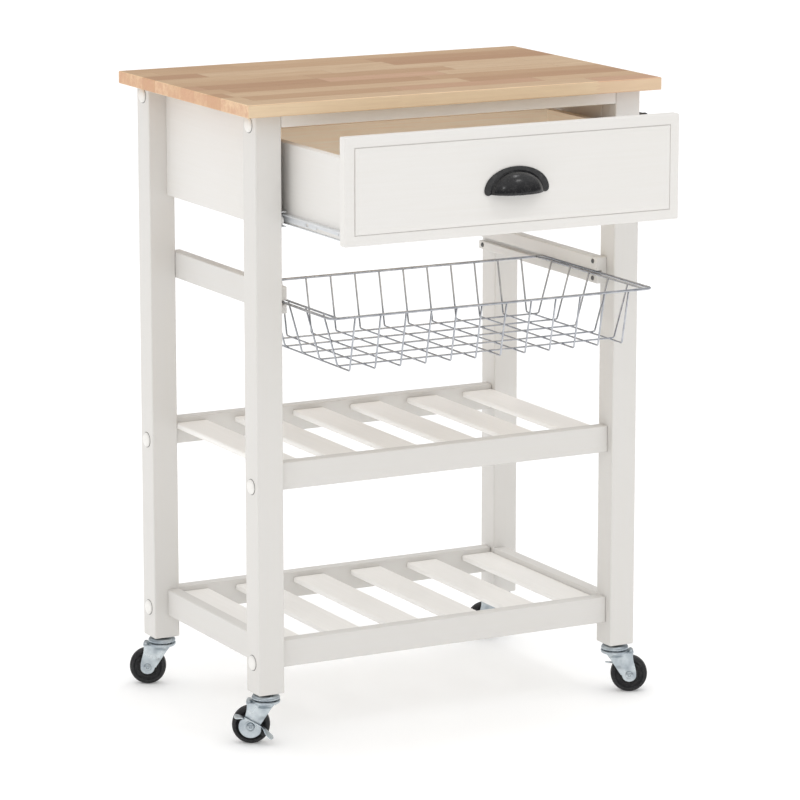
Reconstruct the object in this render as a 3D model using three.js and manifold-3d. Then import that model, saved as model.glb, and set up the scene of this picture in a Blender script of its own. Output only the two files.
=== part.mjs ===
// Kitchen island cart: a painted wooden frame on four swivel casters, with a wooden work top, a drawer
// and a wire basket that both slide out at the front, two slatted shelves and a towel bar on one side.
// Millimetres. +Z is up, +X is to the right, and the drawer and the basket open towards -Y. The pieces are
// drawn about the point on the floor midway between the four legs. The whole cart is then set back so that
// the origin is the middle of its footprint with the drawer and the basket open.

import * as THREE from 'three';
import { mergeVertices } from 'three/addons/utils/BufferGeometryUtils.js';
import Module from 'manifold-3d';

const wasm = await Module();
wasm.setup();

// ---------------------------------------------------------------- driving dimensions

const cartHeight = 864;
const legSpanX = 580;
const legSpanY = 370;
const legSize = 38;
const legBottom = 69.5;

const topThickness = 17;
const topOverhangSide = 20.5;
const topOverhangFront = 22.5;
const topOverhangBack = 15;

const panelThickness = 12;
const panelBottom = 696;
const topRailHeight = 18;

const railThickness = 18;
const railHeight = 37;
const railInset = 12;
const middleShelfBottom = 344.5;
const lowerShelfBottom = 102;
const slatCount = 6;
const slatWidth = 49;
const slatThickness = 8;
const slatDrop = 7;

const drawerOpen = 155;
const drawerFrontWidth = 495;
const drawerFrontBottom = 696.2;
const drawerFrontTop = 836.5;
const drawerFrontThickness = 14.5;
const drawerFieldBorder = 14;
const drawerFieldBevel = 6;
const drawerFieldHeight = 2.5;
const drawerStopGap = 1;
const drawerBoxWidth = 477;
const drawerBoxLength = 310;
const drawerBoxBottom = 701;
const drawerBoxTop = 806.5;
const drawerWallThickness = 12;
const drawerPanelThickness = 3;
const drawerPanelBottom = 709;
const drawerGrooveDepth = 5;

const runnerLength = 300;
const runnerSheet = 1.2;

const pullWidth = 95;
const pullHeight = 36;
const pullDepth = 24;
const pullWall = 2;

const basketOpen = 156;
const basketRailThickness = 16;
const basketRailBottom = 580;
const basketRailHeight = 36;
const basketGrooveDepth = 8;
const basketGrooveHeight = 6;
const rimWidth = 482;
const rimLength = 292;
const rimHeight = 595;
const rimWire = 3.6;
const meshWire = 2.4;
const basketDepth = 74;
const basketMeshTopWidth = 460;
const basketFloorWidth = 418;
const basketFloorInset = 17;
const lengthwiseWires = 12;
const lengthwisePitch = 37.3;
const crosswiseWires = 5;
const crosswisePitch = 51;

const wheelRadius = 25.5;
const wheelWidth = 18;
const wheelSides = 24;
const casterTrail = 20;
const casterTurn = -28;
const brakeTiltReleased = 29;
const brakeTiltOn = -17;

const towelBarDiameter = 10;
const towelBarOffset = 23.5;
const towelBarHeight = 804;
const towelBarEndY = 156;

const clearance = 0.3;

// ---------------------------------------------------------------- materials

function finish(colour, roughness, metalness) {
  return () => new THREE.MeshStandardMaterial({ color: colour, roughness, metalness });
}

const paint = finish(0xece9e4, 0.45, 0);
const oiledWood = finish(0xcfa676, 0.5, 0);
const drawerWood = finish(0xd6c3a4, 0.6, 0);
const zinc = finish(0xb9c0c4, 0.35, 0.9);
const whiteMetal = finish(0xe6e8ea, 0.4, 0.3);
const chrome = finish(0xc9ccd0, 0.15, 1);
const blackMetal = finish(0x161616, 0.35, 0.6);
const blackRubber = finish(0x1b1b1c, 0.6, 0);

// ---------------------------------------------------------------- shared helpers

const cart = new THREE.Group();
const pieces = new THREE.Group();
cart.add(pieces);

function add(name, geometry, material, parent = pieces) {
  const mesh = new THREE.Mesh(geometry, material());
  mesh.name = name;
  parent.add(mesh);
  return mesh;
}

function block(x0, x1, y0, y1, z0, z1) {
  const geometry = new THREE.BoxGeometry(x1 - x0, y1 - y0, z1 - z0);
  return geometry.translate((x0 + x1) / 2, (y0 + y1) / 2, (z0 + z1) / 2);
}

function shapeOf(points) {
  return new THREE.Shape(points.map(([u, v]) => new THREE.Vector2(u, v)));
}

// An outline in X and Z, extruded along Y from y0 to y1.
function alongY(shape, y0, y1, curveSegments = 8) {
  const geometry = new THREE.ExtrudeGeometry(shape, { depth: y1 - y0, bevelEnabled: false, curveSegments });
  return geometry.rotateX(Math.PI / 2).translate(0, y1, 0);
}

// A turned piece about the vertical axis, from [radius, z] points.
function turned(points, sides = 20) {
  return new THREE.LatheGeometry(points.map(([r, z]) => new THREE.Vector2(r, z)), sides).rotateX(Math.PI / 2);
}

function toSolid(geometry) {
  const plain = geometry.clone();
  plain.deleteAttribute('normal');
  plain.deleteAttribute('uv');
  const merged = mergeVertices(plain, 1e-4);
  const vertProperties = new Float32Array(merged.attributes.position.array);
  const triVerts = new Uint32Array(merged.index.array);
  return new wasm.Manifold(new wasm.Mesh({ numProp: 3, vertProperties, triVerts }));
}

function toGeometry(solid) {
  const mesh = solid.getMesh();
  const geometry = new THREE.BufferGeometry();
  geometry.setAttribute('position', new THREE.BufferAttribute(new Float32Array(mesh.vertProperties), 3));
  geometry.setIndex(new THREE.BufferAttribute(new Uint32Array(mesh.triVerts), 1));
  geometry.computeVertexNormals();
  return geometry;
}

function join(...geometries) {
  return toGeometry(geometries.map(toSolid).reduce((whole, piece) => whole.add(piece)));
}

function cut(geometry, ...tools) {
  return toGeometry(tools.map(toSolid).reduce((whole, tool) => whole.subtract(tool), toSolid(geometry)));
}

// ---------------------------------------------------------------- levels and places worked out

const legOuterX = legSpanX / 2;
const legInnerX = legOuterX - legSize;
const legOuterY = legSpanY / 2;
const legInnerY = legOuterY - legSize;
const legCentreX = legOuterX - legSize / 2;
const legCentreY = legOuterY - legSize / 2;
const topUnderside = cartHeight - topThickness;
const sides = [['left', -1], ['right', 1]];
const corners = [
  ['front_left', -1, -1],
  ['front_right', 1, -1],
  ['back_left', -1, 1],
  ['back_right', 1, 1],
];

// A block on one side of the cart, measured outwards from the middle.
function sideBlock(side, inner, outer, y0, y1, z0, z1) {
  return block(Math.min(side * inner, side * outer), Math.max(side * inner, side * outer), y0, y1, z0, z1);
}

// ---------------------------------------------------------------- frame

const stemRadius = 4;
const stemDepth = 25;

function legGeometry(sideX, sideY) {
  const x = sideX * legCentreX;
  const y = sideY * legCentreY;
  const half = legSize / 2;
  const post = block(x - half, x + half, y - half, y + half, legBottom, topUnderside);
  const boreLength = 2 * (stemDepth + 1);
  const bore = new THREE.CylinderGeometry(stemRadius + clearance, stemRadius + clearance, boreLength, 16);
  return cut(post, bore.rotateX(Math.PI / 2).translate(x, y, legBottom));
}

function addFrame() {
  add('table_top', block(
    -legOuterX - topOverhangSide, legOuterX + topOverhangSide,
    -legOuterY - topOverhangFront, legOuterY + topOverhangBack,
    topUnderside, cartHeight,
  ), oiledWood);
  for (const [corner, sideX, sideY] of corners) {
    add(`leg_${corner}`, legGeometry(sideX, sideY), paint);
  }
  for (const [name, side] of sides) {
    const panel = sideBlock(side, legInnerX, legInnerX + panelThickness, -legInnerY, legInnerY, panelBottom, topUnderside);
    add(`side_panel_${name}`, panel, paint);
  }
  add('back_panel', block(
    -legInnerX, legInnerX, legInnerY, legInnerY + panelThickness, panelBottom, topUnderside,
  ), paint);
  add('top_rail_front', block(
    -legInnerX, legInnerX, -legOuterY, -legOuterY + railThickness, topUnderside - topRailHeight, topUnderside,
  ), paint);
}

// ---------------------------------------------------------------- shelves

const railOuterY = legOuterY - railInset;
const railInnerY = railOuterY - railThickness;

function addShelf(shelf, bottom) {
  const top = bottom + railHeight;
  for (const [name, side] of [['front', -1], ['back', 1]]) {
    const y0 = Math.min(side * railInnerY, side * railOuterY);
    add(`${shelf}_rail_${name}`, block(-legInnerX, legInnerX, y0, y0 + railThickness, bottom, top), paint);
  }
  const pitch = (2 * legInnerX - slatWidth) / (slatCount - 1);
  const slatTop = top - slatDrop;
  for (let i = 0; i < slatCount; i += 1) {
    const x0 = -legInnerX + i * pitch;
    const slat = block(x0, x0 + slatWidth, -railInnerY, railInnerY, slatTop - slatThickness, slatTop);
    add(`${shelf}_slat_${i + 1}`, slat, paint);
  }
}

function addLowerSideRails() {
  for (const [name, side] of sides) {
    add(`lower_rail_${name}`, sideBlock(
      side, legInnerX, legInnerX + railThickness, -legInnerY, legInnerY,
      lowerShelfBottom, lowerShelfBottom + railHeight,
    ), paint);
  }
}

// ---------------------------------------------------------------- drawer

const frontFaceY = -legOuterY - drawerStopGap - drawerFrontThickness - drawerOpen;
const frontBackY = frontFaceY + drawerFrontThickness;
const boxOuterX = drawerBoxWidth / 2;
const boxInnerX = boxOuterX - drawerWallThickness;
const boxBackY = frontBackY + drawerBoxLength;
const drawerCentreZ = (drawerFrontBottom + drawerFrontTop) / 2;

function drawerFrontGeometry() {
  const halfWidth = drawerFrontWidth / 2;
  const slab = block(-halfWidth, halfWidth, frontFaceY, frontBackY, drawerFrontBottom, drawerFrontTop);
  const halfX = halfWidth - drawerFieldBorder - drawerFieldBevel;
  const halfZ = (drawerFrontTop - drawerFrontBottom) / 2 - drawerFieldBorder - drawerFieldBevel;
  const field = new THREE.ExtrudeGeometry(
    shapeOf([[-halfX, -halfZ], [halfX, -halfZ], [halfX, halfZ], [-halfX, halfZ]]),
    { depth: 1, bevelThickness: drawerFieldHeight, bevelSize: drawerFieldBevel, bevelSegments: 1 },
  );
  field.rotateX(Math.PI / 2).translate(0, frontFaceY + 1, drawerCentreZ);
  return join(slab, field);
}

// A drawer side with the groove that holds the bottom panel.
function drawerSideGeometry(side) {
  const grooveTop = drawerPanelBottom + drawerPanelThickness;
  const grooveX = boxInnerX + drawerGrooveDepth;
  const outline = shapeOf([
    [boxInnerX, drawerBoxBottom], [boxOuterX, drawerBoxBottom], [boxOuterX, drawerBoxTop],
    [boxInnerX, drawerBoxTop], [boxInnerX, grooveTop], [grooveX, grooveTop],
    [grooveX, drawerPanelBottom], [boxInnerX, drawerPanelBottom],
  ].map(([x, z]) => [side * x, z]));
  return alongY(outline, frontBackY, boxBackY);
}

// A cup shell, open below and at the back, on a thin flange that follows its outline.
function cupPullGeometry() {
  const footHeight = 9;
  const half = pullWidth / 2;
  const outer = new THREE.SphereGeometry(1, 32, 20);
  const inner = outer.clone();
  const cupHalf = half - 10;
  const cupHeight = pullHeight - 5;
  outer.scale(cupHalf, pullDepth, cupHeight);
  inner.scale(cupHalf - pullWall, pullDepth - pullWall, cupHeight - pullWall);
  const room = block(-half, half, -pullDepth, 0, 1, pullHeight);
  const shell = toSolid(outer).subtract(toSolid(inner)).intersect(toSolid(room));
  const outline = new THREE.Shape();
  outline.moveTo(-half, 0);
  outline.lineTo(-cupHalf + 1, 0);
  outline.lineTo(-cupHalf + 1, 2);
  outline.lineTo(cupHalf - 1, 2);
  outline.lineTo(cupHalf - 1, 0);
  outline.lineTo(half, 0);
  outline.lineTo(half, footHeight);
  outline.absellipse(0, footHeight, half, pullHeight - footHeight, 0, Math.PI, false, 0);
  const flange = toSolid(alongY(outline, -pullWall, 0, 20));
  return toGeometry(shell.add(flange)).translate(
    0, frontFaceY - drawerFieldHeight, drawerCentreZ - pullHeight / 2,
  );
}

function addDrawer() {
  add('drawer_front', drawerFrontGeometry(), paint);
  for (const [name, side] of sides) {
    add(`drawer_side_${name}`, drawerSideGeometry(side), drawerWood);
  }
  const panelTop = drawerPanelBottom + drawerPanelThickness;
  const panelHalf = boxInnerX + drawerGrooveDepth;
  add('drawer_back', block(
    -boxInnerX, boxInnerX, boxBackY - drawerWallThickness, boxBackY, panelTop, drawerBoxTop,
  ), drawerWood);
  add('drawer_bottom', block(
    -panelHalf, panelHalf, frontBackY, boxBackY, drawerPanelBottom, panelTop,
  ), drawerWood);
  add('cup_pull', cupPullGeometry(), blackMetal);
}

// ---------------------------------------------------------------- drawer runners

// The member on the drawer wraps the side's lower edge, and its top flange reaches into the channel of
// the member on the cabinet.
function addRunners() {
  const trackTop = 713.5;
  const trackFlange = 8;
  const channelBottom = 697.5;
  const channelTop = 718;
  const channelFlange = 9;
  const sheet = runnerSheet;
  for (const [name, side] of sides) {
    const face = boxOuterX;
    const drawerMember = shapeOf([
      [boxInnerX, drawerBoxBottom - sheet], [face + sheet, drawerBoxBottom - sheet],
      [face + sheet, trackTop - sheet], [face + trackFlange, trackTop - sheet],
      [face + trackFlange, trackTop], [face, trackTop], [face, drawerBoxBottom], [boxInnerX, drawerBoxBottom],
    ].map(([x, z]) => [side * x, z]));
    add(`drawer_runner_${name}`, alongY(drawerMember, frontBackY, frontBackY + runnerLength), whiteMetal);

    const wall = legInnerX;
    const tip = wall - channelFlange;
    const cabinetMember = shapeOf([
      [tip, channelBottom], [wall, channelBottom], [wall, channelTop], [tip, channelTop],
      [tip, channelTop - sheet], [wall - sheet, channelTop - sheet],
      [wall - sheet, channelBottom + sheet], [tip, channelBottom + sheet],
    ].map(([x, z]) => [side * x, z]));
    const start = -legOuterY + 5;
    add(`cabinet_runner_${name}`, alongY(cabinetMember, start, start + runnerLength), whiteMetal);
  }
}

// ---------------------------------------------------------------- basket rails and basket

function addBasketRails() {
  const outer = legInnerX;
  const inner = legInnerX - basketRailThickness;
  const grooveX = inner + basketGrooveDepth;
  const low = basketRailBottom;
  const high = basketRailBottom + basketRailHeight;
  const grooveLow = rimHeight - basketGrooveHeight / 2;
  const grooveHigh = rimHeight + basketGrooveHeight / 2;
  for (const [name, side] of sides) {
    const outline = shapeOf([
      [inner, low], [outer, low], [outer, high], [inner, high],
      [inner, grooveHigh], [grooveX, grooveHigh], [grooveX, grooveLow], [inner, grooveLow],
    ].map(([x, z]) => [side * x, z]));
    add(`basket_rail_${name}`, alongY(outline, -legCentreY, legCentreY), paint);
  }
}

// A path through given stations, one extrusion step from each station to the next.
class StationPath extends THREE.Curve {
  constructor(stations) {
    super();
    this.stations = stations;
  }

  getPoint(t, target = new THREE.Vector3()) {
    const place = t * (this.stations.length - 1);
    const i = Math.min(Math.floor(place), this.stations.length - 2);
    return target.lerpVectors(this.stations[i], this.stations[i + 1], place - i);
  }

  getPointAt(u, target) {
    return this.getPoint(u, target);
  }

  getTangentAt(u, target = new THREE.Vector3()) {
    const last = this.stations.length - 1;
    const i = Math.round(u * last);
    const before = this.stations[Math.max(i - 1, 0)];
    const here = this.stations[i];
    const after = this.stations[Math.min(i + 1, last)];
    const ahead = after.clone().sub(here).normalize();
    return target.copy(here).sub(before).normalize().add(ahead).normalize();
  }
}

// Stations along a wire through corner points, with each inner corner rounded by a short bend.
function bentStations(points, bendRadius, bendSteps = 3) {
  const stations = [points[0]];
  for (let i = 1; i < points.length - 1; i += 1) {
    const corner = points[i];
    const back = points[i - 1].clone().sub(corner).normalize();
    const ahead = points[i + 1].clone().sub(corner).normalize();
    const reach = bendRadius / Math.tan(back.angleTo(ahead) / 2);
    const bend = new THREE.QuadraticBezierCurve3(
      corner.clone().addScaledVector(back, reach), corner, corner.clone().addScaledVector(ahead, reach),
    );
    stations.push(...bend.getPoints(bendSteps));
  }
  stations.push(points[points.length - 1]);
  return stations;
}

// The section's phase keeps the ridges of crossing wires from meeting exactly.
const sectionPhase = 0.3;

function wire(points, diameter, bendRadius, sidesOfSection) {
  const stations = bentStations(points.map((p) => new THREE.Vector3(...p)), bendRadius);
  const section = [];
  for (let i = 0; i < sidesOfSection; i += 1) {
    const angle = ((i + sectionPhase) * 2 * Math.PI) / sidesOfSection;
    section.push([(diameter / 2) * Math.cos(angle), (diameter / 2) * Math.sin(angle)]);
  }
  return new THREE.ExtrudeGeometry(shapeOf(section), {
    steps: stations.length - 1,
    extrudePath: new StationPath(stations),
  });
}

function basketGeometry() {
  const rimX = rimWidth / 2;
  const frontY = -rimLength / 2 - basketOpen;
  const backY = rimLength / 2 - basketOpen;
  const middleY = (frontY + backY) / 2;
  const topX = basketMeshTopWidth / 2;
  const floorX = basketFloorWidth / 2;
  const floorFrontY = frontY + basketFloorInset;
  const floorBackY = backY - basketFloorInset;
  const floorZ = rimHeight - basketDepth;
  const upperFloorZ = floorZ + meshWire - 0.4;
  const bend = 4;
  const wires = [];
  for (const side of [-1, 1]) {
    wires.push(wire([
      [-side * 2, frontY, rimHeight], [side * rimX, frontY, rimHeight],
      [side * rimX, backY, rimHeight], [-side * 2, backY, rimHeight],
    ], rimWire, bend, 8));
    wires.push(wire([[side * topX, frontY, rimHeight], [side * topX, backY, rimHeight]], meshWire + 0.4, bend, 6));
  }
  for (let i = 0; i < lengthwiseWires; i += 1) {
    const x = (i - (lengthwiseWires - 1) / 2) * lengthwisePitch;
    wires.push(wire([
      [x, frontY, rimHeight], [x, floorFrontY, floorZ], [x, floorBackY, floorZ], [x, backY, rimHeight],
    ], meshWire, bend, 6));
  }
  for (let i = 0; i < crosswiseWires; i += 1) {
    const y = middleY + (i - (crosswiseWires - 1) / 2) * crosswisePitch;
    wires.push(wire([
      [-topX, y, rimHeight], [-floorX, y, upperFloorZ], [floorX, y, upperFloorZ], [topX, y, rimHeight],
    ], meshWire, bend, 6));
  }
  return join(...wires);
}

// ---------------------------------------------------------------- casters

const raceRadius = 19;
const forkPlateBottom = 54;
const forkPlateTop = 57;
const cheekInner = wheelWidth / 2 + 1.7;
const cheekOuter = cheekInner + 2;
const axleRadius = 3.2;
const leverInner = cheekOuter + clearance;
const leverOuter = leverInner + 1.5;

// The stem that goes up into the leg, its lock nut, the upper race and the rivet that carries the fork.
function stemGeometry() {
  return turned([
    [0, 50.5], [6.5, 50.5], [6.5, 53.5], [stemRadius, 53.5], [stemRadius, 61], [raceRadius, 61],
    [raceRadius, 63.5], [17, 66.5], [9, 66.5], [9, legBottom], [stemRadius, legBottom],
    [stemRadius, legBottom + stemDepth], [0, legBottom + stemDepth],
  ]);
}

// The fork: a round lower race, a saddle with a rolled trailing end, and two cheeks that taper to the axle.
function forkGeometry() {
  const race = turned([
    [stemRadius + 0.6, forkPlateBottom], [raceRadius - 3, forkPlateBottom], [raceRadius + 0.5, forkPlateTop],
    [raceRadius + 0.5, 59.5], [raceRadius - 1.5, 59.5], [raceRadius - 3.5, forkPlateTop],
    [stemRadius + 0.6, forkPlateTop], [stemRadius + 0.6, forkPlateBottom],
  ]);
  const saddle = block(8, casterTrail + 5, -cheekOuter, cheekOuter, forkPlateBottom, forkPlateTop);
  const roll = new THREE.Shape();
  roll.absarc(casterTrail + 2.3, forkPlateTop - 0.6, 3.9, 0, 2 * Math.PI, false);
  const endRadius = 10;
  const cheek = new THREE.Shape();
  cheek.moveTo(casterTrail + 5, forkPlateTop);
  cheek.lineTo(-13, forkPlateTop);
  cheek.lineTo(-11, forkPlateBottom);
  cheek.lineTo(casterTrail - endRadius * Math.cos(0.6), wheelRadius - endRadius * Math.sin(0.6));
  cheek.absarc(casterTrail, wheelRadius, endRadius, Math.PI + 0.6, 2 * Math.PI, false);
  cheek.closePath();
  const hole = new THREE.Path();
  hole.absarc(casterTrail, wheelRadius, axleRadius + clearance, 0, 2 * Math.PI, true);
  cheek.holes.push(hole);
  return join(
    race, saddle, alongY(roll, -10, 10),
    alongY(cheek, cheekInner, cheekOuter), alongY(cheek, -cheekOuter, -cheekInner),
  );
}

// Flats all round, one of them on the floor.
function wheelGeometry() {
  const flat = 1 / Math.cos(Math.PI / wheelSides);
  const half = wheelWidth / 2;
  const profile = [
    [axleRadius + clearance, -half], [9, -half], [10.5, -half + 2.5], [18, -half + 2.5], [19.5, -half],
    [23, -half], [wheelRadius, -half + 3], [wheelRadius, half - 3], [23, half], [19.5, half],
    [18, half - 2.5], [10.5, half - 2.5], [9, half], [axleRadius + clearance, half],
    [axleRadius + clearance, -half],
  ].map(([r, y]) => new THREE.Vector2(r * flat, y));
  return new THREE.LatheGeometry(profile, wheelSides).rotateY(Math.PI / wheelSides);
}

function axleGeometry(hasBrake) {
  const head = 5.5;
  const headLength = 3;
  const near = -cheekOuter - clearance;
  const far = hasBrake ? leverOuter + clearance : cheekOuter + clearance;
  const profile = [
    [0, near - headLength], [head, near - headLength], [head, near], [axleRadius, near],
    [axleRadius, far], [head, far], [head, far + headLength], [0, far + headLength],
  ].map(([r, y]) => new THREE.Vector2(r, y));
  return new THREE.LatheGeometry(profile, 12);
}

// A half disc on the axle, with a folded pedal along its straight edge that reaches past the wheel.
function leverGeometry() {
  const discRadius = 16;
  const pedalOuter = 27;
  const pedalInner = 34;
  const pedalWidth = 9;
  const disc = new THREE.Shape();
  disc.absarc(0, 0, discRadius, Math.PI, 2 * Math.PI, false);
  disc.lineTo(8, 6);
  disc.lineTo(-8, 6);
  disc.closePath();
  const hole = new THREE.Path();
  hole.absarc(0, 0, axleRadius + clearance, 0, 2 * Math.PI, true);
  disc.holes.push(hole);
  const pedal = shapeOf([
    [-pedalInner, 1.5], [-18, 6], [18, 6], [pedalOuter, 4], [pedalOuter, 6], [18, 8], [-18, 8], [-pedalInner, 3.5],
  ]);
  return join(alongY(disc, leverInner, leverOuter), alongY(pedal, leverInner, leverInner + pedalWidth));
}

function addCaster(corner, sideX, sideY) {
  const hasBrake = sideY < 0;
  const trailsRight = corner === 'front_right';
  const caster = new THREE.Group();
  caster.position.set(sideX * legCentreX, sideY * legCentreY, 0);
  caster.rotation.z = THREE.MathUtils.degToRad(trailsRight ? casterTurn : casterTurn + 180);
  pieces.add(caster);
  add(`caster_stem_${corner}`, stemGeometry(), zinc, caster);
  add(`caster_fork_${corner}`, forkGeometry(), zinc, caster);
  const axle = new THREE.Group();
  axle.position.set(casterTrail, 0, wheelRadius);
  caster.add(axle);
  add(`caster_axle_${corner}`, axleGeometry(hasBrake), zinc, axle);
  add(`caster_wheel_${corner}`, wheelGeometry(), blackRubber, axle);
  if (hasBrake) {
    const lever = add(`brake_lever_${corner}`, leverGeometry(), zinc, axle);
    const tilt = trailsRight ? brakeTiltOn : brakeTiltReleased;
    lever.rotation.y = -THREE.MathUtils.degToRad(tilt);
  }
}

// ---------------------------------------------------------------- towel bar

function towelBarGeometry() {
  const barX = legOuterX + towelBarOffset;
  const radius = towelBarDiameter / 2;
  const rod = new THREE.CylinderGeometry(radius, radius, 2 * towelBarEndY, 16);
  const bar = [rod.translate(barX, 0, towelBarHeight)];
  for (const side of [-1, 1]) {
    const y = side * towelBarEndY;
    const post = new THREE.LatheGeometry([
      [0, 0], [8, 0], [8, 2], [3.5, 6], [3.5, towelBarOffset], [0, towelBarOffset],
    ].map(([r, x]) => new THREE.Vector2(r, x)), 16);
    bar.push(post.rotateZ(-Math.PI / 2).translate(legOuterX, y, towelBarHeight));
    bar.push(new THREE.SphereGeometry(radius + 1, 14, 8).translate(barX, y, towelBarHeight));
  }
  return join(...bar);
}

// ---------------------------------------------------------------- assembly

addFrame();
addShelf('middle', middleShelfBottom);
addShelf('lower', lowerShelfBottom);
addLowerSideRails();
addDrawer();
addRunners();
addBasketRails();
add('wire_basket', basketGeometry(), chrome);
for (const [corner, sideX, sideY] of corners) {
  addCaster(corner, sideX, sideY);
}
add('towel_bar', towelBarGeometry(), blackMetal);

const footprintFront = frontFaceY - drawerFieldHeight - pullDepth;
const footprintBack = legOuterY + topOverhangBack;
pieces.position.y = -(footprintFront + footprintBack) / 2;

export default cart;
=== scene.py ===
"""Kitchen island cart: painted frame, butcher-block top, drawer, wire basket, slatted shelves and casters.

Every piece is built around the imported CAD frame, in metres. Places come from the CAD nodes' boxes.
"""

import math

import bmesh
import bpy
from mathutils import Matrix, Vector


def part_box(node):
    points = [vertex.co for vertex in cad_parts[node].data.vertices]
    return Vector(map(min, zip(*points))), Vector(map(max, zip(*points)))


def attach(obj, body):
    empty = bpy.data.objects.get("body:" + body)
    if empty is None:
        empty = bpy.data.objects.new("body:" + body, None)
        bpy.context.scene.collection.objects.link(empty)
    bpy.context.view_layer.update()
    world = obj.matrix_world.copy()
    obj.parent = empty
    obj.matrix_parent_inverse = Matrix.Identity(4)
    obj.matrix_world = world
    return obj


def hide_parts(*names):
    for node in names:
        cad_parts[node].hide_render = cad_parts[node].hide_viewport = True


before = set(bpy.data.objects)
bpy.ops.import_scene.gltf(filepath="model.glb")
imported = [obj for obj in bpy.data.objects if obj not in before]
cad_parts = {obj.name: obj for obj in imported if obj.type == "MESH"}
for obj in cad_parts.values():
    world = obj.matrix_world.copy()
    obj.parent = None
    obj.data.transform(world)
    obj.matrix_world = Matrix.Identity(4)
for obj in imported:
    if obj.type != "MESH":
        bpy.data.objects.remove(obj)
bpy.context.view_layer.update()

MM = 0.001
SIDES = (("left", -1), ("right", 1))
CORNERS = ("front_left", "front_right", "back_left", "back_right")

# ---------------------------------------------------------------- camera, stage and light

CAMERA_TARGET = Vector((-0.0647, -0.0683, 0.446))
CAMERA_DISTANCE = 5.45
CAMERA_AZIMUTH = math.radians(27.925)
CAMERA_ELEVATION = math.radians(11.747)
CAMERA_LENS = 182.95
LIGHT_TARGET = Vector((0, 0, 0.45))


def new_object(name, data):
    thing = bpy.data.objects.new(name, data)
    bpy.context.scene.collection.objects.link(thing)
    return thing


def add_camera():
    data = bpy.data.cameras.new("camera")
    data.lens = CAMERA_LENS
    data.clip_end = 50
    camera = new_object("camera", data)
    away = Vector((
        -math.sin(CAMERA_AZIMUTH) * math.cos(CAMERA_ELEVATION),
        -math.cos(CAMERA_AZIMUTH) * math.cos(CAMERA_ELEVATION),
        math.sin(CAMERA_ELEVATION),
    ))
    camera.location = CAMERA_TARGET + away * CAMERA_DISTANCE
    camera.rotation_euler = (math.pi / 2 - CAMERA_ELEVATION, 0, -CAMERA_AZIMUTH)
    bpy.context.scene.camera = camera


def add_light(name, place, size, power):
    data = bpy.data.lights.new(name, "AREA")
    data.size = size
    data.energy = power
    light = new_object(name, data)
    light.location = place
    light.rotation_euler = (LIGHT_TARGET - light.location).to_track_quat("-Z", "Y").to_euler()


FRONT_STRENGTH = 0.86
BACK_STRENGTH = 1.32
LOW_REFLECTION = 0.12
HIGH_REFLECTION = 0.85


def add_studio():
    """A white surround: brighter behind the cart than before it, and dim at the horizon in reflections."""
    world = bpy.data.worlds.new("studio")
    bpy.context.scene.world = world
    world.use_nodes = True
    tree = world.node_tree
    rays = tree.nodes.new("ShaderNodeLightPath").outputs
    split = tree.nodes.new("ShaderNodeSeparateXYZ")
    tree.links.new(tree.nodes.new("ShaderNodeTexCoord").outputs["Generated"], split.inputs[0])

    def gradient(axis, start, end, low, high):
        node = tree.nodes.new("ShaderNodeMapRange")
        tree.links.new(split.outputs[axis], node.inputs["Value"])
        for name, value in (("From Min", start), ("From Max", end), ("To Min", low), ("To Max", high)):
            node.inputs[name].default_value = value
        return node.outputs[0]

    def blend(ray, otherwise):
        node = tree.nodes.new("ShaderNodeMix")
        tree.links.new(rays[ray], node.inputs[0])
        tree.links.new(otherwise, node.inputs[2])
        return node

    seen = blend("Is Glossy Ray", gradient("Y", -1, 1, FRONT_STRENGTH, BACK_STRENGTH))
    tree.links.new(gradient("Z", 0.0, 0.7, LOW_REFLECTION, HIGH_REFLECTION), seen.inputs[3])
    shown = blend("Is Camera Ray", seen.outputs[0])
    shown.inputs[3].default_value = 1.0
    background = tree.nodes["Background"]
    background.inputs["Color"].default_value = (1, 1, 1, 1)
    tree.links.new(shown.outputs[0], background.inputs["Strength"])
    bpy.context.scene.view_settings.view_transform = "Standard"
    add_light("overhead_softbox", (0.73, -0.4, 3.6), 0.5, 5)
    add_light("left_softbox", (-1.9, -2.4, 2.35), 0.5, 4)
    add_light("front_softbox", (0.9, -2.0, 3.3), 0.35, 5)


# ---------------------------------------------------------------- node materials


def srgb(red, green, blue):
    """Linear RGBA from 0 to 255 display values."""
    def linear(value):
        value /= 255
        return value / 12.92 if value <= 0.04045 else ((value + 0.055) / 1.055) ** 2.4
    return (linear(red), linear(green), linear(blue), 1)


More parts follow.
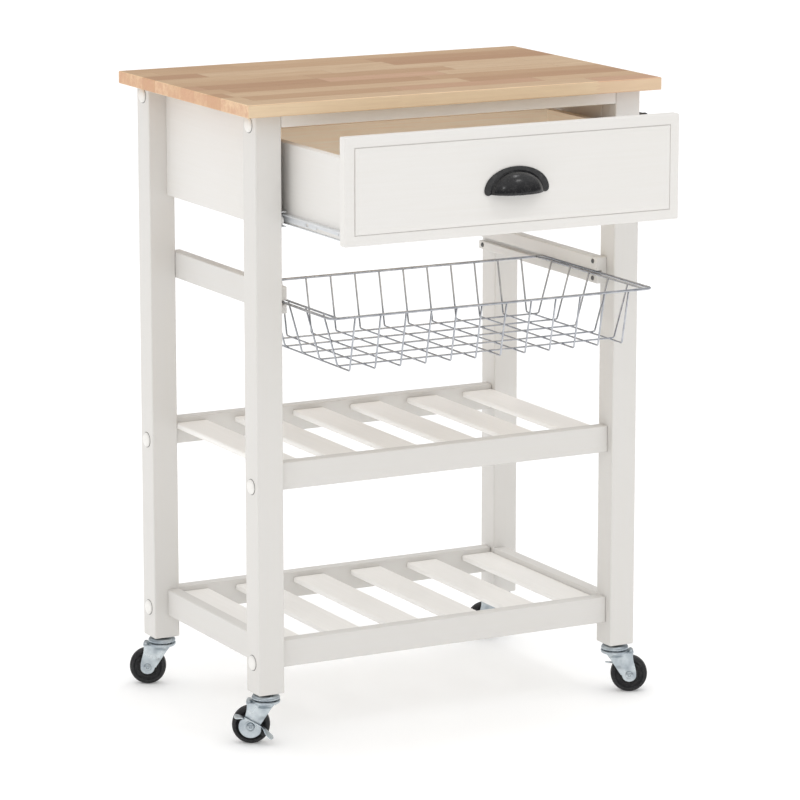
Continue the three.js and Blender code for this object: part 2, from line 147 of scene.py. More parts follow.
class Shader:
    """One node material, with short calls for the nodes that the finishes share."""

    def __init__(self, name):
        self.material = bpy.data.materials.new(name)
        self.material.use_nodes = True
        self.nodes = self.material.node_tree.nodes
        self.links = self.material.node_tree.links
        self.nodes.clear()
        output = self.nodes.new("ShaderNodeOutputMaterial")
        self.surface = self.nodes.new("ShaderNodeBsdfPrincipled")
        self.links.new(self.surface.outputs[0], output.inputs[0])
        self.place = self.node("TexCoord").outputs["Object"]

    def node(self, kind, inputs=None, **settings):
        node = self.nodes.new("ShaderNode" + kind)
        for key, value in settings.items():
            setattr(node, key, value)
        self.fill(node, inputs or {})
        return node

    def fill(self, node, inputs):
        for key, value in inputs.items():
            if isinstance(value, bpy.types.NodeSocket):
                self.links.new(value, node.inputs[key])
            else:
                node.inputs[key].default_value = value

    def set(self, **inputs):
        self.fill(self.surface, {key.replace("_", " "): value for key, value in inputs.items()})

    def math(self, operation, *values):
        return self.node("Math", dict(enumerate(values)), operation=operation).outputs[0]

    def scaled(self, scale, vector=None):
        return self.node("Mapping", {"Vector": vector or self.place, "Scale": scale}).outputs[0]

    def noise(self, scale, vector=None, detail=3.0, roughness=0.5, distortion=0.0):
        return self.node("TexNoise", {
            "Vector": vector or self.place, "Scale": scale, "Detail": detail, "Roughness": roughness,
            "Distortion": distortion,
        }).outputs[0]

    def ramp(self, factor, *stops):
        node = self.node("ValToRGB", {0: factor})
        elements = node.color_ramp.elements
        while len(elements) < len(stops):
            elements.new(1.0)
        for element, (position, colour) in zip(elements, stops):
            element.position = position
            element.color = colour
        return node.outputs[0]

    def span(self, factor, low, high, start=0.0, end=1.0):
        """factor from start..end mapped to low..high."""
        return self.node("MapRange", {
            "Value": factor, "From Min": start, "From Max": end, "To Min": low, "To Max": high,
        }).outputs[0]

    def mix(self, factor, first, second, blend="MIX"):
        node = self.nodes.new("ShaderNodeMix")
        node.data_type = "RGBA"
        node.blend_type = blend
        self.fill(node, {0: factor, 6: first, 7: second})
        return node.outputs[2]

    def bump(self, height, distance, strength=1.0, normal=None):
        inputs = {"Height": height, "Distance": distance, "Strength": strength}
        if normal:
            inputs["Normal"] = normal
        return self.node("Bump", inputs).outputs[0]


def grey(value):
    return (value, value, value, 1)


def along(axis, length_scale, cross_scale):
    """Mapping scale that stretches a texture along one axis."""
    scale = [cross_scale] * 3
    scale["XYZ".index(axis)] = length_scale
    return scale


PAINT = srgb(228, 226, 223)
PAINT_WARM = srgb(226, 223, 218)
# The next two tones are a darker copy of the one paint, for the legs and rails: painted shade.
FRAME_PAINT_SHADE_DARKENED = srgb(218, 216, 213)
FRAME_PAINT_WARM_SHADE_DARKENED = srgb(216, 213, 208)
# The next two tones are a lighter copy of the one paint, for the slats: painted light.
SLAT_PAINT_LIGHT_BRIGHTENED = srgb(245, 243, 240)
SLAT_PAINT_WARM_LIGHT_BRIGHTENED = srgb(242, 239, 234)


def painted_wood(name, axis, cool, warm):
    """Satin paint over wood: faint grain along the board and a fine sprayed texture."""
    s = Shader(name)
    patches = s.noise(6, detail=2)
    grain = s.noise(1, s.scaled(along(axis, 9, 260)), detail=4, roughness=0.6, distortion=0.3)
    peel = s.noise(900, detail=2)
    tone = s.mix(s.span(patches, 0.0, 0.6), cool, warm)
    tone = s.mix(s.span(grain, 0.0, 0.12, 0.35, 0.75), tone, srgb(214, 208, 196))
    normal = s.bump(grain, 0.00012, 0.5)
    normal = s.bump(peel, 0.00003, 0.35, normal)
    s.set(Base_Color=tone, Roughness=s.span(patches, 0.34, 0.46), Normal=normal)
    s.surface.inputs["IOR"].default_value = 1.46
    return s.material


STAVE_WIDTH = 41 * MM
FRONT_STAVE_LENGTH = 300 * MM
FRONT_JOINT_X = 215 * MM
FINGER_PITCH = 4.4 * MM
FINGER_DEPTH = 9 * MM
STAVE_OFFSET = (7.0, 3.0, 5.0)


def butcher_block():
    """Edge-glued staves along X, finger-jointed end to end, with end grain on the short sides."""
    s = Shader("butcher_block")
    low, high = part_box("table_top")
    split = s.node("SeparateXYZ", {0: s.place}).outputs
    x, y, z = split[0], split[1], split[2]

    across = s.math("DIVIDE", s.math("SUBTRACT", y, low.y), STAVE_WIDTH)
    row = s.math("FLOOR", across)
    row_random = s.node("TexWhiteNoise", {"W": s.math("ADD", row, 3.7)}, noise_dimensions="1D").outputs
    is_front = s.math("LESS_THAN", row, 0.5)
    random_length = s.span(row_random["Value"], 0.17, 0.36)
    length = s.node("Mix", {0: is_front, 2: random_length, 3: FRONT_STAVE_LENGTH}).outputs[0]
    random_shift = s.node("SeparateColor", {0: row_random["Color"]}).outputs[1]
    front_shift = 1 - (FRONT_JOINT_X % FRONT_STAVE_LENGTH) / FRONT_STAVE_LENGTH
    shift = s.node("Mix", {0: is_front, 2: random_shift, 3: front_shift}).outputs[0]
    tooth = s.math("ABSOLUTE", s.math("SUBTRACT", s.math("FRACT", s.math("DIVIDE", z, FINGER_PITCH)), 0.5))
    finger = s.math("MULTIPLY", tooth, 2 * FINGER_DEPTH)
    steps = s.math("ADD", s.math("DIVIDE", s.math("ADD", x, finger), length), s.math("ADD", shift, 10))
    stave = s.math("FLOOR", steps)
    cell = s.node("CombineXYZ", {0: row, 1: stave, 2: 0.5}).outputs[0]
    stave_random = s.node("TexWhiteNoise", {"Vector": cell}, noise_dimensions="3D").outputs

    # The front row is two light staves and a pinkish one; the others are picked at random.
    front_tone = s.node("Mix", {0: s.math("GREATER_THAN", stave, 10.5), 2: 0.16, 3: 0.98}).outputs[0]
    pick = s.node("Mix", {0: is_front, 2: stave_random["Value"], 3: front_tone}).outputs[0]
    tone = s.ramp(
        pick, (0.0, srgb(246, 219, 182)), (0.3, srgb(241, 210, 170)), (0.5, srgb(234, 200, 159)),
        (0.7, srgb(226, 189, 148)), (0.88, srgb(212, 168, 128)), (1.0, srgb(238, 196, 162)),
    )

    offset = s.node("VectorMath", {0: stave_random["Color"], 1: STAVE_OFFSET}, operation="MULTIPLY")
    inside = s.node("VectorMath", {0: s.place, 1: offset.outputs[0]}, operation="ADD").outputs[0]
    figure = s.noise(1, s.scaled((3.2, 42, 42), inside), detail=3, roughness=0.55, distortion=1.1)
    rings = s.math("SINE", s.math("MULTIPLY", figure, 42.0))
    streaks = s.noise(1, s.scaled((9, 420, 420), inside), detail=4, roughness=0.65)
    pores = s.noise(1, s.scaled((55, 1500, 1500), inside), detail=2)
    pore_mask = s.span(pores, 0.0, 1.0, 0.6, 0.72)
    tone = s.mix(s.span(rings, 0.0, 0.2, -1.0, 1.0), tone, srgb(196, 148, 106))
    tone = s.mix(s.span(streaks, 0.0, 0.38, 0.4, 0.75), tone, srgb(190, 146, 104))
    tone = s.mix(s.math("MULTIPLY", pore_mask, 0.24), tone, srgb(150, 108, 74))

    glue_lines = []
    for position, pitch, half_line in ((across, STAVE_WIDTH, 0.28 * MM), (steps, length, 0.3 * MM)):
        offset = s.math("SUBTRACT", s.math("FRACT", s.math("ADD", position, 0.5)), 0.5)
        distance = s.math("MULTIPLY", s.math("ABSOLUTE", offset), pitch)
        glue_lines.append(s.math("LESS_THAN", distance, half_line))
    glue = s.math("MAXIMUM", *glue_lines)
    tone = s.mix(s.math("MULTIPLY", glue, 0.45), tone, srgb(140, 100, 68))

    # Painted shade darkens the top face, painted light makes the long side faces paler, and the end grain is
    # mottled pink.
    facing = s.node("SeparateXYZ", {0: s.node("NewGeometry").outputs["True Normal"]}).outputs
    # Painted shade: the up-facing top face is darkened.
    face = s.span(facing[2], 0.0, 1.0, 0.97, 0.995)
    tone = s.mix(face, tone, s.mix(1.0, tone, srgb(212, 206, 200), "MULTIPLY"))
    # Painted light: the long side faces are made paler.
    long_faces_painted_light = s.math("GREATER_THAN", s.math("ABSOLUTE", facing[1]), 0.9)
    tone = s.mix(s.math("MULTIPLY", long_faces_painted_light, 0.45), tone, srgb(252, 232, 198))
    end_grain = s.math("GREATER_THAN", s.math("ABSOLUTE", facing[0]), 0.9)
    mottle = s.span(s.noise(90), 0.25, 0.75, 0.35, 0.65)
    tone = s.mix(s.math("MULTIPLY", end_grain, mottle), tone, srgb(206, 156, 124))

    height = s.math("ADD", s.math("MULTIPLY", streaks, 0.6), s.math("MULTIPLY", pore_mask, -0.5))
    height = s.math("SUBTRACT", height, s.math("MULTIPLY", glue, 0.5))
    s.set(Base_Color=tone, Roughness=s.span(streaks, 0.42, 0.58), Normal=s.bump(height, 0.00012, 0.7))
    return s.material


def drawer_wood(axis):
    """Beige foiled board inside the drawer, with a printed grain along its length."""
    s = Shader(f"drawer_wood_{axis.lower()}")
    grain = s.noise(1, s.scaled(along(axis, 5, 160)), detail=5, roughness=0.6, distortion=0.6)
    lines = s.noise(1, s.scaled(along(axis, 14, 700)), detail=2)
    tone = s.mix(s.span(grain, 0.0, 1.0, 0.3, 0.7), srgb(250, 243, 231), srgb(245, 235, 218))
    tone = s.mix(s.span(lines, 0.0, 0.25, 0.5, 0.75), tone, srgb(228, 208, 180))
    s.set(Base_Color=tone, Roughness=s.span(grain, 0.5, 0.62), Normal=s.bump(lines, 0.00006, 0.5))
    # A slight glow stands in for the studio's light that reaches into the drawer.
    s.set(Emission_Color=tone, Emission_Strength=0.09)
    return s.material


def metal(name, base, shade, roughness, blotch, brush=0.0, peel=0.0):
    """Plated metal: cloudy tone, fine drawn lines along Z and a little roughness change."""
    s = Shader(name)
    cloud = s.noise(blotch, detail=4, roughness=0.6)
    lines = s.noise(1, s.scaled(along("Z", 60, 2600)), detail=3)
    tone = s.mix(s.span(cloud, 0.0, 1.0, 0.35, 0.7), base, shade)
    normal = s.bump(lines, 0.00002, brush)
    normal = s.bump(s.noise(1400, detail=2), 0.00002, peel, normal)
    low, high = roughness
    s.set(Base_Color=tone, Roughness=s.span(cloud, low, high, 0.3, 0.7), Normal=normal)
    s.surface.inputs["Metallic"].default_value = 1.0
    return s.material


def coated(name, base, shade, roughness, specular, bump_scale, bump_depth):
    """Paint, plastic or rubber with a moulded or sprayed texture."""
    s = Shader(name)
    cloud = s.noise(40, detail=3)
    texture = s.noise(bump_scale, detail=3, roughness=0.6)
    dust = s.noise(300, detail=4, roughness=0.7)
    tone = s.mix(s.span(cloud, 0.0, 0.7, 0.3, 0.7), base, shade)
    tone = s.mix(s.span(dust, 0.0, 0.12, 0.5, 0.75), tone, srgb(150, 148, 145))
    normal = s.bump(texture, bump_depth, 0.6)
    low, high = roughness
    s.set(Base_Color=tone, Roughness=s.span(cloud, low, high, 0.3, 0.7), Normal=normal)
    s.surface.inputs["Specular IOR Level"].default_value = specular
    return s.material


PAINTED = {axis: painted_wood(f"painted_panel_{axis.lower()}", axis, PAINT, PAINT_WARM) for axis in "XY"}
# A darker copy of the paint for the legs and rails: painted shade.
SHADE_DARKENED_FRAME_PAINT = {axis: painted_wood(f"shade_darkened_frame_paint_{axis.lower()}", axis, FRAME_PAINT_SHADE_DARKENED, FRAME_PAINT_WARM_SHADE_DARKENED)
                 for axis in "XYZ"}
# A lighter copy of the paint for the slats: painted light.
LIGHT_BRIGHTENED_SLAT_PAINT = painted_wood("light_brightened_slat_paint_y", "Y", SLAT_PAINT_LIGHT_BRIGHTENED, SLAT_PAINT_WARM_LIGHT_BRIGHTENED)
BLOCK = butcher_block()
BEIGE = {axis: drawer_wood(axis) for axis in "XY"}
ZINC = metal(
    "zinc_plate", srgb(206, 214, 218), srgb(168, 178, 186),
    roughness=(0.24, 0.4), blotch=55, brush=0.25, peel=0.15,
)
CHROME = metal(
    "chrome_plate", srgb(192, 194, 199), srgb(160, 163, 170),
    roughness=(0.08, 0.16), blotch=90, peel=0.05,
)
SCREW_STEEL = metal(
    "screw_steel", srgb(122, 122, 120), srgb(84, 84, 84),
    roughness=(0.3, 0.45), blotch=400, brush=0.2,
)
RUNNER_WHITE = coated(
    "runner_coat", srgb(226, 228, 230), srgb(214, 217, 220),
    roughness=(0.3, 0.42), specular=0.5, bump_scale=1200, bump_depth=0.00004,
)
BLACK_SATIN = coated(
    "black_satin", srgb(26, 26, 28), srgb(18, 18, 20),
    roughness=(0.15, 0.23), specular=0.5, bump_scale=700, bump_depth=0.00004,
)
BLACK_RUBBER = coated(
    "black_rubber", srgb(32, 32, 34), srgb(24, 24, 26),
    roughness=(0.46, 0.6), specular=0.4, bump_scale=900, bump_depth=0.0001,
)
WHITE_PLASTIC = coated(
    "white_plastic", srgb(238, 236, 232), srgb(230, 228, 224),
    roughness=(0.3, 0.36), specular=0.5, bump_scale=1500, bump_depth=0.00002,
)


# ---------------------------------------------------------------- mesh helpers


def make(name, bm, material, body, replaced=None, matrix=None, sharp=35, materials=()):
    """A smooth-shaded piece from bm that rides on body and stands for the replaced CAD node."""
    if matrix is not None:
        bm.transform(matrix)
    bmesh.ops.remove_doubles(bm, verts=bm.verts[:], dist=1e-7)
    bmesh.ops.recalc_face_normals(bm, faces=bm.faces[:])
    mesh = bpy.data.meshes.new(name)
    bm.to_mesh(mesh)
    bm.free()
    mesh.polygons.foreach_set("use_smooth", [True] * len(mesh.polygons))
    mesh.set_sharp_from_angle(angle=math.radians(sharp))
    for entry in (material, *materials):
        mesh.materials.append(entry)
    piece = new_object(name, mesh)
    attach(piece, body)
    if replaced:
        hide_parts(replaced)
    return piece


def thicken(piece, thickness, offset=-1.0):
    modifier = piece.modifiers.new("thickness", "SOLIDIFY")
    modifier.thickness = thickness
    modifier.offset = offset
    modifier.use_even_offset = True


def offset_away_from(piece, direction):
    """Solidify's offset that puts a sheet's thickness on the side away from direction."""
    middle = piece.data.polygons[len(piece.data.polygons) // 2]
    return -1.0 if middle.normal.dot(direction) > 0 else 1.0


def even_shading(piece):
    modifier = piece.modifiers.new("even_shading", "WEIGHTED_NORMAL")
    modifier.keep_sharp = True


def soften(piece, width, segments=2, angle=40):
    """Rounds the edges and evens the shading."""
    modifier = piece.modifiers.new("rounded_edges", "BEVEL")
    modifier.width = width
    modifier.segments = segments
    modifier.limit_method = "ANGLE"
    modifier.angle_limit = math.radians(angle)
    modifier.use_clamp_overlap = True
    even_shading(piece)


def box_mesh(low, high, edge, segments=3):
    """A board with all its edges rounded."""
    bm = bmesh.new()
    bmesh.ops.create_cube(bm, size=1.0)
    centre, size = (low + high) / 2, high - low
    for vertex in bm.verts:
        vertex.co = centre + Vector(c * s for c, s in zip(vertex.co, size))
    bmesh.ops.bevel(bm, geom=bm.edges[:], offset=edge, segments=segments, profile=0.5, affect="EDGES")
    return bm


def fillet(points, radius, steps=4, closed=False):
    """points with each corner rounded, for outlines and for wires."""
    points = [Vector(p) for p in points]
    count = len(points)
    result = []
    for i, corner in enumerate(points):
        if not closed and i in (0, count - 1):
            result.append(corner)
            continue
        back, ahead = points[i - 1] - corner, points[(i + 1) % count] - corner
        angle = back.angle(ahead)
        if angle > math.radians(178):
            result.append(corner)
            continue
        reach = min(radius / math.tan(angle / 2), 0.48 * back.length, 0.48 * ahead.length)
        start, end = corner + back.normalized() * reach, corner + ahead.normalized() * reach
        for k in range(steps + 1):
            t = k / steps
            result.append(start * (1 - t) ** 2 + corner * (2 * t * (1 - t)) + end * t * t)
    return result


def in_mm(points):
    """Points written in millimetres."""
    return [tuple(coordinate * MM for coordinate in point) for point in points]


def arc(centre_u, centre_v, radius, start, end, steps):
    """Points of an arc, in degrees."""
    angles = [math.radians(start + (end - start) * k / steps) for k in range(steps + 1)]
    return [(centre_u + radius * math.cos(a), centre_v + radius * math.sin(a)) for a in angles]


def bridge(bm, first, second):
    """Faces between two rings of vertices; a ring of one vertex is a point."""
    count = max(len(first), len(second))
    for k in range(count):
        following = (k + 1) % count
        corners = [first[k % len(first)], first[following % len(first)],
                   second[following % len(second)], second[k % len(second)]]
        corners = list(dict.fromkeys(corners))
        if len(corners) > 2:
            bm.faces.new(corners)


def lathe(profile, segments=64, closed=False):
    """A turned form about Z from (radius, height) points."""
    bm = bmesh.new()
    rings = []
    for radius, height in profile:
        if radius < 1e-7:
            rings.append([bm.verts.new((0, 0, height))])
            continue
        turns = [2 * math.pi * k / segments for k in range(segments)]
        rings.append([bm.verts.new((radius * math.cos(a), radius * math.sin(a), height)) for a in turns])
    for first, second in zip(rings, rings[1:]):
        bridge(bm, first, second)
    if closed:
        bridge(bm, rings[-1], rings[0])
    return bm


def loft(loops):
    """Strips between loops of equal length, with both ends filled."""
    bm = bmesh.new()
    rings = [[bm.verts.new(p) for p in loop] for loop in loops]
    for first, second in zip(rings, rings[1:]):
        bridge(bm, first, second)
    bm.faces.new(rings[0])
    bm.faces.new(rings[-1])
    return bm


def sheet(rows):
    """An open surface through rows of points."""
    bm = bmesh.new()
    grid = [[bm.verts.new(p) for p in row] for row in rows]
    for upper, lower in zip(grid, grid[1:]):
        for k in range(len(upper) - 1):
            bm.faces.new((upper[k], upper[k + 1], lower[k + 1], lower[k]))
    return bm


def tube(bm, points, radius, plane, closed=False, sides=12):
    """A round wire along points that lie in a plane with the given normal."""
    plane = Vector(plane)
    count = len(points)
    rings = []
    for i, point in enumerate(points):
        before = points[i - 1] if closed or i > 0 else point
        after = points[(i + 1) % count] if closed or i < count - 1 else point
        side = (after - before).normalized().cross(plane)
        turns = [2 * math.pi * k / sides for k in range(sides)]
        outwards = [plane * math.cos(a) + side * math.sin(a) for a in turns]
        rings.append([bm.verts.new(point + direction * radius) for direction in outwards])
    for first, second in zip(rings, rings[1:]):
        bridge(bm, first, second)
    if closed:
        bridge(bm, rings[-1], rings[0])
        return
    for ring, inner, tip in ((rings[0], points[1], points[0]), (rings[-1], points[-2], points[-1])):
        out = (tip - inner).normalized()
        small = [bm.verts.new(tip + (v.co - tip) * 0.7 + out * radius * 0.45) for v in ring]
        bridge(bm, ring, small)
        bridge(bm, small, [bm.verts.new(tip + out * radius * 0.65)])


def plate(outline, holes, thickness):
    """A flat plate in U and V with holes, thickness deep along W."""
    bm = bmesh.new()
    edges = []
    for loop in (outline, *holes):
        ring = [bm.verts.new((p[0], p[1], 0)) for p in loop]
        edges += [bm.edges.new((ring[k - 1], ring[k])) for k in range(len(ring))]
    bmesh.ops.triangle_fill(bm, use_beauty=True, use_dissolve=False, edges=edges)
    made = bmesh.ops.extrude_face_region(bm, geom=bm.faces[:])["geom"]
    moved = [item for item in made if isinstance(item, bmesh.types.BMVert)]
    bmesh.ops.translate(bm, verts=moved, vec=(0, 0, thickness))
    return bm


def prism_along_y(outline, start, end):
    """An outline in X and Z, extruded along Y."""
    bm = bmesh.new()
    near = [bm.verts.new((x, start, z)) for x, z in outline]
    far = [bm.verts.new((x, end, z)) for x, z in outline]
    bridge(bm, near, far)
    bm.faces.new(near)
    bm.faces.new(far)
    return bm


def merge(target, source):
    """Adds source's geometry to target."""
    mesh = bpy.data.meshes.new("merged")
    source.to_mesh(mesh)
    source.free()
    target.from_mesh(mesh)
    bpy.data.meshes.remove(mesh)
    return target


def axes(right, up, origin):
    """A matrix whose local X, Y and Z are right, up and right x up, at origin."""
    right, up = Vector(right).normalized(), Vector(up).normalized()
    matrix = Matrix((right, up, right.cross(up))).transposed().to_4x4()
    matrix.translation = origin
    return matrix


# ---------------------------------------------------------------- boards


def board(node, material, edge):
    """A painted board in place of a CAD board, with eased edges."""
    low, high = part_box(node)
    even_shading(make(f"{node}_board", box_mesh(low, high, edge), material, "frame", node))


def add_frame():
    # The legs, lower rails and shelf rails take the darker paint copy, which is painted shade.
    for corner in CORNERS:
        board(f"leg_{corner}", SHADE_DARKENED_FRAME_PAINT["Z"], 2.0 * MM)
    for side, _ in SIDES:
        board(f"side_panel_{side}", PAINTED["Y"], 1.0 * MM)
        board(f"lower_rail_{side}", SHADE_DARKENED_FRAME_PAINT["Y"], 1.8 * MM)
    board("back_panel", PAINTED["X"], 1.0 * MM)
    board("top_rail_front", PAINTED["X"], 1.2 * MM)
    for shelf in ("middle", "lower"):
        for end in ("front", "back"):
            board(f"{shelf}_rail_{end}", SHADE_DARKENED_FRAME_PAINT["X"], 1.8 * MM)
        # The slats take the lighter paint copy, which is painted light.
        for i in range(1, 7):
            board(f"{shelf}_slat_{i}", LIGHT_BRIGHTENED_SLAT_PAINT, 2.4 * MM)
    low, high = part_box("table_top")
    block = box_mesh(low, high, 1.5 * MM, 4)
    even_shading(make("butcher_block_top", block, BLOCK, "frame", "table_top"))


CAP_RADIUS = 10 * MM
CAP_HEIGHT = 3.6 * MM
CAP_LEVELS = (833 * MM, 352 * MM, 112 * MM)


def add_bolt_caps():
    """Push-in plastic caps over the frame bolts, on the legs' outer faces, each ringed by a thin dark
    steel-coloured disc that is painted shadow.
    """
    turns = [math.pi / 2 * k / 10 for k in range(11)]
    dome = [(CAP_RADIUS * math.sin(a) ** 0.8, CAP_HEIGHT * math.cos(a) ** 0.7) for a in turns[:-1]]
    rim = [*dome, (CAP_RADIUS, 0.2 * MM), (CAP_RADIUS, -0.4 * MM), (0, -0.4 * MM)]
    shadow_ring = [(0, 0.25 * MM), (CAP_RADIUS + 0.7 * MM, 0.25 * MM), (CAP_RADIUS + 0.8 * MM, 0.1 * MM),
            (CAP_RADIUS + 0.8 * MM, -0.2 * MM), (0, -0.2 * MM)]
    for corner in CORNERS:
        low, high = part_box(f"leg_{corner}")
        out = -1 if "left" in corner else 1
        face_x = low.x if out < 0 else high.x
        for i, level in enumerate(CAP_LEVELS):
            place = Vector((face_x, (low.y + high.y) / 2, level))
            matrix = axes((0, out, 0), (0, 0, 1), place)
            spot = f"{corner}_{i + 1}"
            make(f"bolt_cap_{spot}", lathe(rim, 40), WHITE_PLASTIC, "frame", matrix=matrix)
            # A thin dark steel-coloured ring round each cap is painted shadow at the cap's edge.
            make(f"bolt_shadow_ring_{spot}", lathe(shadow_ring, 40), SCREW_STEEL, "frame", matrix=matrix)


def cross_head(radius, height):
    """A pan-head screw with a cross recess."""
    arm, half = radius * 0.62, radius * 0.16
    cross = [(half, half), (half, arm), (-half, arm), (-half, half), (-arm, half), (-arm, -half),
             (-half, -half), (-half, -arm), (half, -arm), (half, -half), (arm, -half), (arm, half)]
    depth = height * 0.7
    bm = plate(arc(0, 0, radius * 0.8, 0, 350, 35), [cross], depth)
    bm.transform(Matrix.Translation((0, 0, height - depth)))
    edge = [(radius * 0.8, height), (radius * 0.93, height * 0.8), (radius, height * 0.4), (radius, 0),
            (radius * 0.8, 0)]
    merge(bm, lathe(edge, 36))
    merge(bm, lathe([(0, height - depth + 0.05 * MM), (radius * 0.8, height - depth + 0.05 * MM),
                     (radius * 0.8, 0), (0, 0)], 36))
    return bm


# ---------------------------------------------------------------- drawer


def rounded_rectangle(half_u, half_v, radius, steps=4):
    points = []
    for sign_u, sign_v, start in ((1, 1, 0), (-1, 1, 90), (-1, -1, 180), (1, -1, 270)):
        centre_u, centre_v = sign_u * (half_u - radius), sign_v * (half_v - radius)
        points += arc(centre_u, centre_v, radius, start, start + 90, steps)
    return points


FIELD_HEIGHT = 2.5 * MM


def add_drawer_front():
    """A slab with eased edges and a raised field, set off by a fine groove and a bevel."""
    low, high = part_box("drawer_front")
    centre, half = (low + high) / 2, (high - low) / 2
    face = low.y + FIELD_HEIGHT
    groove = face + 1.2 * MM
    # Inset from the outline in millimetres, place along Y, and corner radius in millimetres.
    steps = [
        (0.8, high.y, 1.5), (0.2, high.y - 0.3 * MM, 1.8), (0.0, high.y - 0.9 * MM, 2.0),
        (0.0, face + 2.0 * MM, 2.0), (0.25, face + 0.9 * MM, 1.9), (0.9, face + 0.25 * MM, 1.6),
        (2.0, face, 1.2), (13.5, face, 0.5), (13.7, groove, 0.5), (14.6, groove, 0.5),
        (14.7, face - 0.6 * MM, 0.5), (15.1, face - 0.9 * MM, 0.5), (17.4, face - 1.7 * MM, 0.6),
        (19.4, face - 2.3 * MM, 0.7), (21.0, low.y, 0.8),
    ]
    loops = []
    for inset, y, radius in steps:
        inset *= MM
        corners = rounded_rectangle(half.x - inset, half.z - inset, radius * MM, 3)
        loops.append([(centre.x + u, y, centre.z + v) for u, v in corners])
    piece = make("drawer_front_panel", loft(loops), PAINTED["X"], "drawer", "drawer_front",
                 sharp=50)
    even_shading(piece)


def add_drawer_box():
    """Painted outside and beige inside, with the bottom panel cut to the back board's width."""
    for side, out in SIDES:
        node = f"drawer_side_{side}"
        low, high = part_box(node)
        bm = box_mesh(low, high, 0.9 * MM)
        for face in bm.faces:
            face.normal_update()
            face.material_index = 1 if face.normal.x * out < -0.8 else 0
        even_shading(make(f"drawer_side_board_{side}", bm, PAINTED["Y"], "drawer", node,
                          materials=(BEIGE["Y"],)))
    for node, edge in (("drawer_back", 0.9 * MM), ("drawer_bottom", 0.4 * MM)):
        low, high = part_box(node)
        if node == "drawer_bottom":
            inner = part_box("drawer_back")
            low.x, high.x = inner[0].x, inner[1].x
        piece = make(f"{node}_board", box_mesh(low, high, edge), BEIGE["X"], "drawer", node)
        even_shading(piece)


PULL_HALF = 47.5 * MM
PULL_HEIGHT = 36 * MM
PULL_DEPTH = 24 * MM
PULL_FOOT = 5.5 * MM
DOME_HALF = 37 * MM
DOME_HEIGHT = 27.5 * MM
DOME_LIP = 2 * MM
DOME_GAUGE = 1.2 * MM
FLANGE = 1.8 * MM


def add_cup_pull():
    """A bin pull: an arched flange with rounded feet, and a thin dome that blends out of it."""
    low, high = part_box("cup_pull")
    matrix = axes((1, 0, 0), (0, 0, 1), Vector(((low.x + high.x) / 2, high.y, low.z)))
    foot = PULL_FOOT
    foot_u = PULL_HALF - foot
    turns = [math.pi * k / 48 for k in range(49)]
    outer = [(PULL_HALF * math.cos(a), foot + (PULL_HEIGHT - foot) * math.sin(a)) for a in turns]
    opening = PULL_HALF - 2 * foot
    inner = [(opening * math.cos(a), foot + (DOME_HEIGHT - foot) * math.sin(a)) for a in turns[::-1]]
    left_foot = arc(-foot_u, foot, foot, 180, 360, 12)[1:-1]
    right_foot = arc(foot_u, foot, foot, 180, 360, 12)[1:-1]
    flange = make("cup_pull_flange", plate(outer + left_foot + inner + right_foot, [], FLANGE), BLACK_SATIN,
                  "drawer", "cup_pull", matrix=matrix)
    soften(flange, 0.8 * MM, 3, 60)

    rows = []
    wall = FLANGE * 0.4
    depth = PULL_DEPTH - DOME_GAUGE - wall
    for i in range(49):
        lean = math.pi / 2 * (2 * i / 48 - 1) * 0.98
        row = []
        for k in range(25):
            turn = math.pi / 2 * k / 24
            out = depth * math.cos(lean) * math.sin(turn)
            flare = 1 + 0.07 * math.exp(-out / (1.5 * MM))
            side = DOME_HALF * math.sin(lean) * flare
            up = DOME_LIP + DOME_HEIGHT * math.cos(lean) * math.cos(turn) * flare
            row.append(Vector((side, up, wall + out)))
        rows.append(row)
    dome = make("cup_pull_dome", sheet(rows), BLACK_SATIN, "drawer", "cup_pull",
                matrix=matrix, sharp=180)
    thicken(dome, DOME_GAUGE, 0.0)
    lip = bmesh.new()
    tube(lip, [row[-1] for row in rows], 0.95 * MM, (0, 1, 0), sides=12)
    make("cup_pull_lip", lip, BLACK_SATIN, "drawer", matrix=matrix)


# ---------------------------------------------------------------- runners and basket rails


def slot_hole(centre_u, centre_v, length, width):
    """A round-ended slot along U."""
    half = (length - width) / 2
    radius = width / 2
    right = arc(centre_u + half, centre_v, radius, -90, 90, 6)
    left = arc(centre_u - half, centre_v, radius, 90, 270, 6)
    return right + left


RUNNER_GAUGE = 1.2 * MM
# Each slot's share of the runner's length, then its height, length and width in millimetres.
RUNNER_SLOTS = ((0.36, 6.2, 9, 4.2), (0.27, 4.4, 2.6, 2.6), (0.75, 6.2, 9, 4.2), (0.06, 6.2, 4.2, 4.2))


